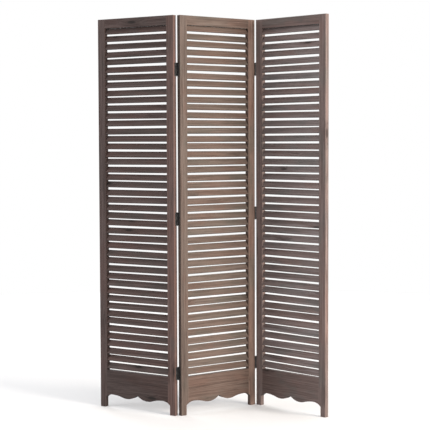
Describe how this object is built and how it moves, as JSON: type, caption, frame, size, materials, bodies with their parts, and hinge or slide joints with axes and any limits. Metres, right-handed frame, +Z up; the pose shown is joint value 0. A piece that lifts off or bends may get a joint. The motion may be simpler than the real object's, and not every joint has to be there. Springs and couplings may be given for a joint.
{
  "type": "folding room divider screen",
  "caption": "Free-standing louvred timber room divider whose panels fold flat face to face on steel butt hinges.",
  "frame": {"origin": "on the floor, under the middle of the zigzag screen's bounding box", "axes": "+Z up; the screen stretches along X and its front is seen along +Y"},
  "size_m": [0.9948, 0.2886, 1.7],
  "materials": {
    "frame_timber": "grey-brown stained softwood, matt, lightly weathered",
    "slat_timber": "grey-brown stained softwood, matt, lightly weathered",
    "hinge_steel": "black stove-enamelled steel, satin",
    "screw_steel": "blackened steel, satin"
  },
  "bodies": {
    "left_panel": {"left_panel_left_stile": "frame_timber", "left_panel_right_stile": "frame_timber", "left_panel_top_rail": "frame_timber", "left_panel_bottom_rail": "frame_timber", "left_panel_bottom_slats": "slat_timber", "left_panel_lower_slats": "slat_timber", "left_panel_middle_slats": "slat_timber", "left_panel_upper_slats": "slat_timber", "left_panel_top_slats": "slat_timber", "left_fold_lower_hinge_left_leaf": "hinge_steel", "left_fold_lower_hinge_pin": "hinge_steel", "left_fold_middle_hinge_left_leaf": "hinge_steel", "left_fold_middle_hinge_pin": "hinge_steel", "left_fold_upper_hinge_left_leaf": "hinge_steel", "left_fold_upper_hinge_pin": "hinge_steel", "left_fold_left_leaf_screws": "screw_steel"},
    "middle_panel": {"middle_panel_left_stile": "frame_timber", "middle_panel_right_stile": "frame_timber", "middle_panel_top_rail": "frame_timber", "middle_panel_bottom_rail": "frame_timber", "middle_panel_bottom_slats": "slat_timber", "middle_panel_lower_slats": "slat_timber", "middle_panel_middle_slats": "slat_timber", "middle_panel_upper_slats": "slat_timber", "middle_panel_top_slats": "slat_timber", "left_fold_lower_hinge_right_leaf": "hinge_steel", "left_fold_middle_hinge_right_leaf": "hinge_steel", "left_fold_upper_hinge_right_leaf": "hinge_steel", "left_fold_right_leaf_screws": "screw_steel", "right_fold_lower_hinge_left_leaf": "hinge_steel", "right_fold_lower_hinge_pin": "hinge_steel", "right_fold_middle_hinge_left_leaf": "hinge_steel", "right_fold_middle_hinge_pin": "hinge_steel", "right_fold_upper_hinge_left_leaf": "hinge_steel", "right_fold_upper_hinge_pin": "hinge_steel", "right_fold_left_leaf_screws": "screw_steel"},
    "right_panel": {"right_panel_left_stile": "frame_timber", "right_panel_right_stile": "frame_timber", "right_panel_top_rail": "frame_timber", "right_panel_bottom_rail": "frame_timber", "right_panel_bottom_slats": "slat_timber", "right_panel_lower_slats": "slat_timber", "right_panel_middle_slats": "slat_timber", "right_panel_upper_slats": "slat_timber", "right_panel_top_slats": "slat_timber", "right_fold_lower_hinge_right_leaf": "hinge_steel", "right_fold_middle_hinge_right_leaf": "hinge_steel", "right_fold_upper_hinge_right_leaf": "hinge_steel", "right_fold_right_leaf_screws": "screw_steel"}
  },
  "joints": [
    {"name": "left_fold_hinge", "type": "hinge", "parent": "middle_panel", "child": "left_panel", "pos_m": [-0.14144, -0.10606, 0.85], "axis": [0, 0, -1], "range_deg": [-70, 110]},
    {"name": "right_fold_hinge", "type": "hinge", "parent": "middle_panel", "child": "right_panel", "pos_m": [0.18811, 0.12735, 0.85], "axis": [0, 0, -1], "range_deg": [-82, 98]}
  ]
}
